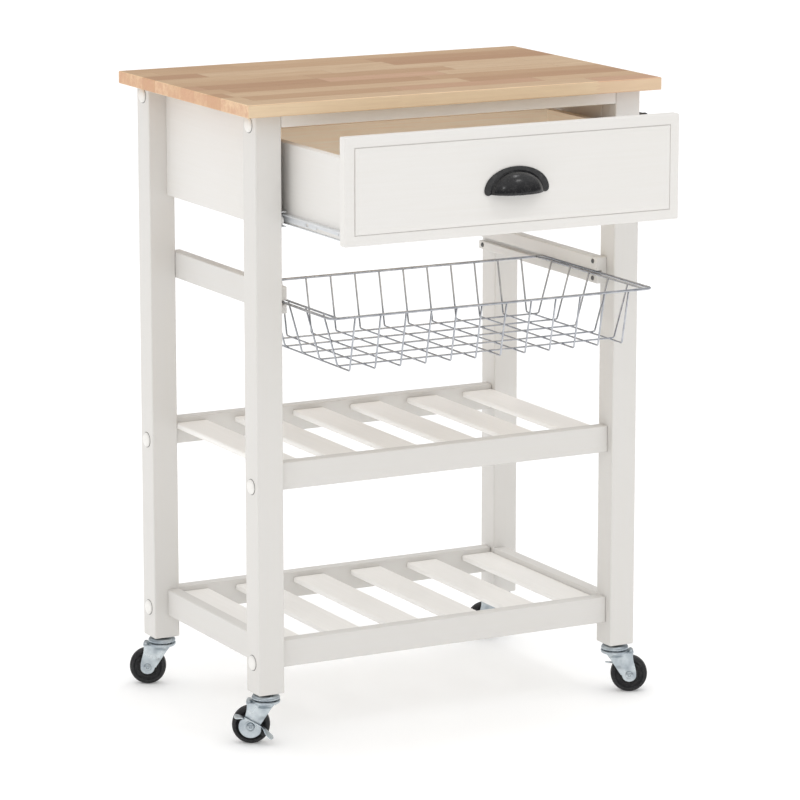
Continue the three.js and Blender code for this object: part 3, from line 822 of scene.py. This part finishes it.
def add_runners():
    """Folded sheet runners with pierced webs, nylon rollers and their screws."""
    for side, out in SIDES:
        low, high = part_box(f"drawer_runner_{side}")
        face, tip = (high.x, low.x) if out < 0 else (low.x, high.x)
        box_low, box_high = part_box(f"drawer_side_{side}")
        wall = box_low.x if out < 0 else box_high.x
        web_low, web_high = box_low.z, high.z
        length = high.y - low.y
        holes = [slot_hole(length * share, height * MM, slot * MM, width * MM)
                 for share, height, slot, width in RUNNER_SLOTS]
        web_height = web_high - web_low - RUNNER_GAUGE
        outline = [(0, 0), (length, 0), (length, web_height), (0, web_height)]
        web = plate(outline, holes, RUNNER_GAUGE)
        # U runs along +Y on the cart, V is up and W is outwards.
        web.transform(Matrix(((0, 0, out, wall), (1, 0, 0, low.y), (0, 1, 0, web_low), (0, 0, 0, 1))))
        flange = fillet([(wall, web_high - RUNNER_GAUGE), (tip, web_high - RUNNER_GAUGE), (tip, web_high),
                         (wall, web_high)], 0.4 * MM, 2, closed=True)
        merge(web, prism_along_y([(p[0], p[1]) for p in flange], low.y, high.y))
        web_face = wall + out * RUNNER_GAUGE
        foot = [(face, low.z), (web_face, low.z), (web_face, web_low), (face, web_low)]
        merge(web, prism_along_y(foot, low.y, high.y))
        make(f"drawer_runner_strip_{side}", web, RUNNER_WHITE, "drawer",
             f"drawer_runner_{side}", sharp=30)

        low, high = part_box(f"cabinet_runner_{side}")
        wall, tip = (low.x, high.x) if out < 0 else (high.x, low.x)
        inner_wall = wall - out * RUNNER_GAUGE
        top, bottom = high.z - RUNNER_GAUGE, low.z + RUNNER_GAUGE
        channel = [(tip, low.z), (wall, low.z), (wall, high.z), (tip, high.z), (tip, top),
                   (inner_wall, top), (inner_wall, bottom), (tip, bottom)]
        piece = make(f"cabinet_runner_channel_{side}", prism_along_y(channel, low.y, high.y), RUNNER_WHITE,
                     "frame", f"cabinet_runner_{side}", sharp=30)
        soften(piece, 0.35 * MM)
        middle = (low.z + high.z) / 2 - 2.0 * MM
        roller = in_mm([(0, 0), (2, 0), (5.6, 0), (6.3, 0.5), (6.3, 4.2), (5.6, 4.7), (3.2, 4.7), (3.0, 3.9),
                        (1.8, 3.9), (1.6, 4.9), (0, 5.0)])
        place = Vector((inner_wall - out * 0.4 * MM, low.y + 8 * MM, middle))
        make(f"cabinet_runner_roller_{side}", lathe(roller, 40), WHITE_PLASTIC, "frame",
             matrix=axes((0, -out, 0), (0, 0, 1), place))
        for i, share in enumerate((0.2, 0.55, 0.9)):
            place = Vector((inner_wall, low.y + (high.y - low.y) * share, middle + 2 * MM))
            make(f"cabinet_runner_screw_{side}_{i + 1}", cross_head(3.2 * MM, 1.2 * MM), ZINC, "frame",
                 matrix=axes((0, -out, 0), (0, 0, 1), place))


GROOVE_DEPTH = 8 * MM
GROOVE_HALF = 3 * MM


def add_basket_rails():
    """Grooved hardwood rails with rounded lips, screwed to the legs from inside."""
    for side, out in SIDES:
        node = f"basket_rail_{side}"
        low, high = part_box(node)
        inner, outer = (high.x, low.x) if out < 0 else (low.x, high.x)
        groove = inner + out * GROOVE_DEPTH
        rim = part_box("wire_basket")[1].z - 2 * MM
        roof, floor = rim + GROOVE_HALF, rim - GROOVE_HALF
        outline = [(inner, low.z), (outer, low.z), (outer, high.z), (inner, high.z), (inner, roof),
                   (groove, roof), (groove, floor), (inner, floor)]
        # The rail takes the darker paint copy, which is painted shade.
        piece = make(f"{node}_board", prism_along_y(outline, low.y, high.y), SHADE_DARKENED_FRAME_PAINT["Y"], "frame",
                     node, sharp=30)
        soften(piece, 1.1 * MM, 3)
        for end, y in (("front", low.y + 11 * MM), ("back", high.y - 11 * MM)):
            for level, z in (("upper", high.z - 6 * MM), ("lower", low.z + 6.5 * MM)):
                matrix = axes((0, -out, 0), (0, 0, 1), Vector((inner, y, z)))
                make(f"basket_rail_screw_{side}_{end}_{level}", cross_head(3.3 * MM, 1.3 * MM), SCREW_STEEL,
                     "frame", matrix=matrix)


# ---------------------------------------------------------------- wire basket

RIM_WIRE = 3.6 * MM
MESH_WIRE = 2.4 * MM
BASKET_FLOOR_HALF = 209 * MM
BASKET_MESH_HALF = 230 * MM
FLOOR_INSET = 17 * MM
LENGTHWISE = (12, 37.3 * MM)
CROSSWISE = (5, 51 * MM)
WIRE_BEND = 4 * MM


def add_basket():
    """A welded basket of round chrome wire: rim, side wires, and two layers of mesh."""
    low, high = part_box("wire_basket")
    rim_z = high.z - RIM_WIRE / 2
    floor_z = low.z + MESH_WIRE / 2
    upper_floor_z = floor_z + MESH_WIRE * 0.92
    front, back = low.y + RIM_WIRE / 2, high.y - RIM_WIRE / 2
    half = high.x - RIM_WIRE / 2
    middle = (front + back) / 2

    rim = bmesh.new()
    corners = [(-half, front, rim_z), (half, front, rim_z), (half, back, rim_z), (-half, back, rim_z)]
    tube(rim, fillet(corners, 9 * MM, 8, closed=True), RIM_WIRE / 2, (0, 0, 1), closed=True, sides=20)
    for x in (-BASKET_MESH_HALF, BASKET_MESH_HALF):
        ends = [Vector((x, y, rim_z)) for y in (front, back)]
        tube(rim, ends, MESH_WIRE / 2 + 0.2 * MM, (0, 0, 1), sides=16)
    make("basket_rim", rim, CHROME, "basket", "wire_basket")

    def places(count, pitch, centre=0.0):
        return [centre + (i - (count - 1) / 2) * pitch for i in range(count)]

    lengthwise_x = places(*LENGTHWISE)
    crosswise_y = places(*CROSSWISE, middle)
    top = rim_z + 0.6 * MM
    lengthwise = [[(x, front + 0.4 * MM, top), (x, front + FLOOR_INSET, floor_z),
                   (x, back - FLOOR_INSET, floor_z), (x, back - 0.4 * MM, top)] for x in lengthwise_x]
    crosswise = [[(-BASKET_MESH_HALF + 0.4 * MM, y, top), (-BASKET_FLOOR_HALF, y, upper_floor_z),
                  (BASKET_FLOOR_HALF, y, upper_floor_z), (BASKET_MESH_HALF - 0.4 * MM, y, top)]
                 for y in crosswise_y]
    for name, wires, plane in (("lengthwise", lengthwise, (1, 0, 0)), ("crosswise", crosswise, (0, 1, 0))):
        bm = bmesh.new()
        for points in wires:
            tube(bm, fillet(points, WIRE_BEND, 6), MESH_WIRE / 2, plane, sides=14)
        make(f"basket_{name}_wires", bm, CHROME, "basket", "wire_basket")

    # Weld nuggets where the two layers of the floor cross.
    nuggets = bmesh.new()
    nugget, flat = MESH_WIRE * 0.62, Matrix.Diagonal((1, 1, 0.55, 1))
    for x in lengthwise_x:
        for y in crosswise_y:
            place = Matrix.Translation((x, y, (floor_z + upper_floor_z) / 2)) @ flat
            bmesh.ops.create_uvsphere(nuggets, u_segments=12, v_segments=7, radius=nugget, matrix=place)
    make("basket_welds", nuggets, CHROME, "basket")


# ---------------------------------------------------------------- casters

WHEEL_RADIUS = 25.5 * MM
WHEEL_HALF = 9 * MM
RACE_RADIUS = 19.5 * MM
BALL_CIRCLE = 13.2 * MM
PLATE_TOP = 57 * MM
CHEEK_FACE = 12.7 * MM
CHEEK_LEAD = -12.6 * MM
CHEEK_GAUGE = 1.8 * MM
TRAIL = 20 * MM
AXLE_END_RADIUS = 10 * MM
HEAD_SEAT = 13.0 * MM
LEVER_TILT = {"front_left": math.radians(29), "front_right": math.radians(-17)}

TO_Y = Matrix.Rotation(-math.pi / 2, 4, "X")


def smoothstep(value, start, end):
    t = min(max((value - start) / (end - start), 0.0), 1.0)
    return t * t * (3 - 2 * t)


def add_caster_top(corner, base):
    """Hex lock nut, threaded stem, pressed upper race and the balls below it."""
    stem = [(0, 50.5), (5.6, 50.7), (6.5, 51.4), (6.5, 52.6), (5.8, 53.5), (4, 53.6), (4, 61), (17.6, 61),
            (18.6, 61.15), (19, 61.7), (19, 63.2), (18.7, 64.1), (17.6, 65.7), (16.9, 66.3), (15.8, 66.5),
            (4, 66.5), (4, 93), (3.2, 94.5), (0, 94.5)]
    make(f"caster_upper_race_{corner}", lathe(in_mm(stem), 72), ZINC, "frame",
         f"caster_stem_{corner}", matrix=base)
    nut_radius = 7.6 * MM / math.cos(math.pi / 6)
    turns = [math.radians(60 * k + 15) for k in range(6)]
    nut_loops = []
    for scale, z in ((0.88, 66.5), (1.0, 66.9), (1.0, 69.0), (0.9, 69.4)):
        reach = nut_radius * scale
        nut_loops.append([(reach * math.cos(a), reach * math.sin(a), z * MM) for a in turns])
    make(f"caster_lock_nut_{corner}", loft(nut_loops), SCREW_STEEL, "frame", matrix=base, sharp=25)
    balls = bmesh.new()
    count = 18
    for k in range(count):
        turn = 2 * math.pi * k / count
        place = Matrix.Translation((BALL_CIRCLE * math.cos(turn), BALL_CIRCLE * math.sin(turn), 59.0 * MM))
        bmesh.ops.create_uvsphere(balls, u_segments=12, v_segments=8, radius=1.9 * MM, matrix=place)
    make(f"caster_balls_{corner}", balls, ZINC, f"swivel_{corner}", matrix=base, sharp=180)


def cheek_rows():
    """The outer face of one cheek, from under the race down to the round end at the axle."""
    rows = []
    start, bottom = PLATE_TOP - 0.4 * MM, WHEEL_RADIUS - AXLE_END_RADIUS
    count = 36
    for i in range(count + 1):
        z = start + (bottom - start) * i / count
        drop = PLATE_TOP - z
        # The leading edge slants back to the axle, the trailing edge is nearly upright.
        slant = min(drop / (PLATE_TOP - 20 * MM), 1.0)
        lead = CHEEK_LEAD + (TRAIL - AXLE_END_RADIUS * 0.82 - CHEEK_LEAD) * slant
        trail = TRAIL + 5 * MM + 4.6 * MM * smoothstep(drop, 4 * MM, 30 * MM)
        if z < WHEEL_RADIUS:
            reach = math.sqrt(max(AXLE_END_RADIUS ** 2 - (WHEEL_RADIUS - z) ** 2, 0.0))
            lead, trail = max(lead, TRAIL - reach), min(trail, TRAIL + reach)
        row = []
        for k in range(25):
            x = lead + (trail - lead) * k / 24
            # Under the race the sheet follows the round rim, then draws in to the flat cheek.
            rim = math.sqrt(max(RACE_RADIUS ** 2 - x * x, 0.0))
            flat = CHEEK_FACE
            crease = smoothstep(x, 7.6 * MM, 9.4 * MM) * smoothstep(z, 34 * MM, 40 * MM)
            flat -= 0.75 * MM * (1 - crease) * smoothstep(z, 33 * MM, 40 * MM)
            skirt = 1 - smoothstep(drop, 0.6 * MM, 8.5 * MM)
            y = flat + max(rim - 1.0 * MM - flat, 0.0) * skirt
            row.append(Vector((x, y, z)))
        rows.append(row)
    return rows


def add_fork(corner, base, hub):
    body = f"swivel_{corner}"
    node = f"caster_fork_{corner}"
    race = [(4.8, 54), (14.5, 54), (17.6, 54.9), (19.2, 56.2), (19.5, 57.4), (19.5, 58.7), (19.1, 59.35),
            (18.5, 59.5), (17.9, 59.2), (17.5, 58.4), (16.9, 57.3), (15.8, 56.9), (4.8, 56.9)]
    make(f"caster_lower_race_{corner}", lathe(in_mm(race), 72, closed=True), ZINC, body, node,
         matrix=base)
    saddle = [(6, -11.2), (15, -12.4), (22.5, -12.4), (25, -9.8), (25, 9.8), (22.5, 12.4), (15, 12.4),
              (6, 11.2)]
    outline = fillet(in_mm(saddle), 2.4 * MM, 4, closed=True)
    loops = []
    for inset, z in ((1.6, 50.4), (0.5, 50.9), (0.1, 52.0), (0.0, 55.0), (0.35, 56.2), (1.2, 56.95)):
        centre = Vector((15.5 * MM, 0))
        loops.append([(*(centre + (p - centre) * (1 - inset * MM / (11 * MM))), z * MM) for p in outline])
    # The underside is open over the wheel, so only the trailing end reaches down.
    for loop_index in range(2):
        loops[loop_index] = [(x, y, z + (2.9 * MM if x < 21.5 * MM else 0)) for x, y, z in loops[loop_index]]
    make(f"caster_saddle_{corner}", loft(loops), ZINC, body, node, matrix=base, sharp=50)
    roll_end = [(3.9, 6.5), (3.6, 8), (2.9, 9.1), (1.6, 9.8), (0, 10)]
    roll = [(r, -h) for r, h in reversed(roll_end)] + roll_end
    place = Matrix.Translation((TRAIL + 2.3 * MM, 0, PLATE_TOP - 0.6 * MM))
    make(f"caster_roll_{corner}", lathe(in_mm(roll), 32), ZINC, body, node,
         matrix=base @ place @ TO_Y, sharp=60)
    rows = cheek_rows()
    for side, sign in (("near", 1), ("far", -1)):
        placed = [[Vector((p.x, sign * p.y, p.z)) for p in row] for row in rows]
        if sign < 0:
            placed = [row[::-1] for row in placed]
        piece = make(f"caster_cheek_{side}_{corner}", sheet(placed), ZINC, body, node,
                     matrix=base, sharp=180)
        thicken(piece, CHEEK_GAUGE, offset_away_from(piece, base.to_3x3() @ Vector((0, sign, 0))))
        soften(piece, 0.45 * MM, 2, 55)
    add_axle(corner, hub)


def add_axle(corner, hub):
    """A peened rivet axle with a dimpled head each side."""
    braked = corner in LEVER_TILT
    near = -HEAD_SEAT
    far = HEAD_SEAT + 1.8 * MM if braked else HEAD_SEAT
    head = in_mm([(0, -1.5), (1.1, -1.5), (1.7, -2.4), (2.6, -2.9), (4.0, -2.6), (5.1, -1.6), (5.5, -0.5),
                  (5.5, 0)])
    profile = [(r, near + h) for r, h in head]
    profile += [(3.2 * MM, near), (3.2 * MM, far)]
    profile += [(r, far - h) for r, h in reversed(head)]
    make(f"caster_rivet_{corner}", lathe(profile, 40), ZINC, f"swivel_{corner}",
         f"caster_axle_{corner}", matrix=hub @ TO_Y)


def add_wheel(corner, hub):
    """A moulded wheel: crowned tread, recessed web with a raised ring, and a long hub."""
    half = WHEEL_HALF / MM
    # Radius and depth below the hub's face, from the bore out to the tread.
    face = [(3.5, 0), (7.6, 0), (8.6, 0.4), (9.4, 1.6), (11.0, 2.4), (13.2, 2.5), (13.7, 1.9), (14.7, 1.9),
            (15.2, 2.5), (17.0, 2.5), (18.6, 1.9), (19.3, 0.8), (20.0, 0.15), (20.9, 0), (22.6, 0.1),
            (24.0, 0.9), (24.9, 2.1), (25.35, 4.0), (25.5, 6.2)]
    right = [(r, half - depth) for r, depth in face]
    profile = right + [(r, -h) for r, h in reversed(right)]
    make(f"caster_wheel_tread_{corner}", lathe(in_mm(profile), 96, closed=True), BLACK_RUBBER,
         f"wheel_{corner}", f"caster_wheel_{corner}", matrix=hub @ TO_Y, sharp=40)


# How far the pedal reaches either side of the axle, in millimetres.
PEDAL_TAIL = 34
PEDAL_NOSE = 27


def add_brake_lever(corner, hub):
    """A half-round side plate, a pedal folded outwards along its top and a rubber shoe under one wing."""
    tilt = hub @ Matrix.Rotation(-LEVER_TILT[corner], 4, "Y")
    body = f"brake_{corner}"
    node = f"brake_lever_{corner}"
    outline = arc(0, 0, 16, 180, 360, 32) + [(14.6, 3.4), (11.5, 6.2), (-11.5, 6.2), (-14.6, 3.4)]
    hole = arc(0, 0, 3.6, 0, 345, 23)
    side = plate(in_mm(outline), [in_mm(hole)], 1.5 * MM)
    # U is the lever's X, V is up, and W is outwards along the axle.
    upright = Matrix(((1, 0, 0, 0), (0, 0, 1, HEAD_SEAT), (0, 1, 0, 0), (0, 0, 0, 1)))
    piece = make(f"brake_side_plate_{corner}", side, ZINC, body, node, matrix=tilt @ upright)
    soften(piece, 0.4 * MM, 2, 60)
    boss = [(3.7, 0), (8.2, 0), (8.2, 0.25), (7.6, 0.55), (6.9, 0.6), (6.2, 0.35), (3.7, 0.3)]
    boss_place = Matrix.Translation((0, 14.4 * MM, 0))
    make(f"brake_boss_{corner}", lathe(in_mm(boss), 48, closed=True), ZINC, body,
         matrix=tilt @ boss_place @ TO_Y)

    rows = []
    count = 44
    for i in range(count + 1):
        x = -PEDAL_TAIL + (PEDAL_TAIL + PEDAL_NOSE) * i / count
        z = 7.9 - 4.4 * smoothstep(-x, 15, PEDAL_TAIL) ** 0.9 - 2.0 * smoothstep(x, 15, PEDAL_NOSE)
        from_end = min(x + PEDAL_TAIL, PEDAL_NOSE - x)
        narrow = 0.0 if from_end > 4 else 4 - math.sqrt(max(16 - (4 - from_end) ** 2, 0.0))
        wing = smoothstep(abs(x), 12.5, 16)
        low_y = 13.0 + narrow * wing
        high_y = 17.2 + 4.6 * wing - narrow
        row = []
        for k in range(9):
            y = low_y + (high_y - low_y) * k / 8
            droop = 0.4 * wing * (y - 13) * smoothstep(abs(x), 14, 24)
            row.append(Vector((x * MM, y * MM, (z - droop) * MM)))
        rows.append(row)
    pedal = make(f"brake_pedal_plate_{corner}", sheet(rows), ZINC, body, node, matrix=tilt,
                 sharp=180)
    thicken(pedal, 1.6 * MM, offset_away_from(pedal, tilt.to_3x3() @ Vector((0, 0, 1))))
    soften(pedal, 0.4 * MM, 2, 55)

    shoe = box_mesh(Vector((-23.5, 13.4, -2.6)) * MM, Vector((-15.5, 19.6, 3.4)) * MM, 1.2 * MM)
    even_shading(make(f"brake_shoe_{corner}", shoe, BLACK_RUBBER, body, matrix=tilt))


def add_casters():
    for corner in CORNERS:
        leg_low, leg_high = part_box(f"leg_{corner}")
        pivot = (leg_low + leg_high) / 2
        pivot.z = 0
        wheel_low, wheel_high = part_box(f"caster_wheel_{corner}")
        axle = (wheel_low + wheel_high) / 2
        turn = Matrix.Rotation(math.atan2(axle.y - pivot.y, axle.x - pivot.x), 4, "Z")
        base = Matrix.Translation(pivot) @ turn
        hub = Matrix.Translation(axle) @ turn
        add_caster_top(corner, base)
        add_fork(corner, base, hub)
        add_wheel(corner, hub)
        if corner in LEVER_TILT:
            add_brake_lever(corner, hub)


# ---------------------------------------------------------------- towel bar


def add_towel_bar():
    """A black bar between two posts, each with a rosette on the leg and a ball at its end."""
    low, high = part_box("towel_bar")
    leg_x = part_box("leg_front_right")[1].x
    ball = 6 * MM
    bar_x, bar_z = high.x - ball, (low.z + high.z) / 2
    ends = (low.y + ball, high.y - ball)
    half = 5 * MM
    rod = lathe([(0, ends[0]), (half, ends[0]), (half, ends[1]), (0, ends[1])], 36)
    make("towel_rod", rod, BLACK_SATIN, "frame", "towel_bar",
         matrix=Matrix.Translation((bar_x, 0, bar_z)) @ TO_Y)
    reach = bar_x - leg_x
    post = [(0, 0), (7.6, 0), (8, 0.4), (8, 1.4), (7.3, 2.2), (5.6, 3.1), (4.4, 4.4), (3.7, 6.2), (3.5, 9.0)]
    profile = in_mm(post) + [(3.5 * MM, reach), (0, reach)]
    for name, y in zip(("front", "back"), ends):
        matrix = axes((0, 1, 0), (0, 0, 1), Vector((leg_x, y, bar_z)))
        make(f"towel_post_{name}", lathe(profile, 40), BLACK_SATIN, "frame", "towel_bar",
             matrix=matrix)
        finial = [(ball * math.sin(a), -ball * math.cos(a)) for a in (math.pi * k / 16 for k in range(17))]
        make(f"towel_finial_{name}", lathe(finial, 32), BLACK_SATIN, "frame", "towel_bar",
             matrix=Matrix.Translation((bar_x, y, bar_z)) @ TO_Y)


# ---------------------------------------------------------------- floor


def add_floor():
    s = Shader("studio_floor")
    tone = s.mix(s.span(s.noise(3), 0.0, 0.5), grey(0.97), grey(0.955))
    s.set(Base_Color=tone, Roughness=0.8, Emission_Color=grey(1.0), Emission_Strength=0.09)
    bm = bmesh.new()
    bmesh.ops.create_grid(bm, x_segments=1, y_segments=1, size=20)
    mesh = bpy.data.meshes.new("floor")
    bm.to_mesh(mesh)
    bm.free()
    mesh.materials.append(s.material)
    new_object("floor", mesh)


add_camera()
add_studio()
add_floor()
add_frame()
add_bolt_caps()
add_drawer_front()
add_drawer_box()
add_cup_pull()
add_runners()
add_basket_rails()
add_basket()
add_casters()
add_towel_bar()
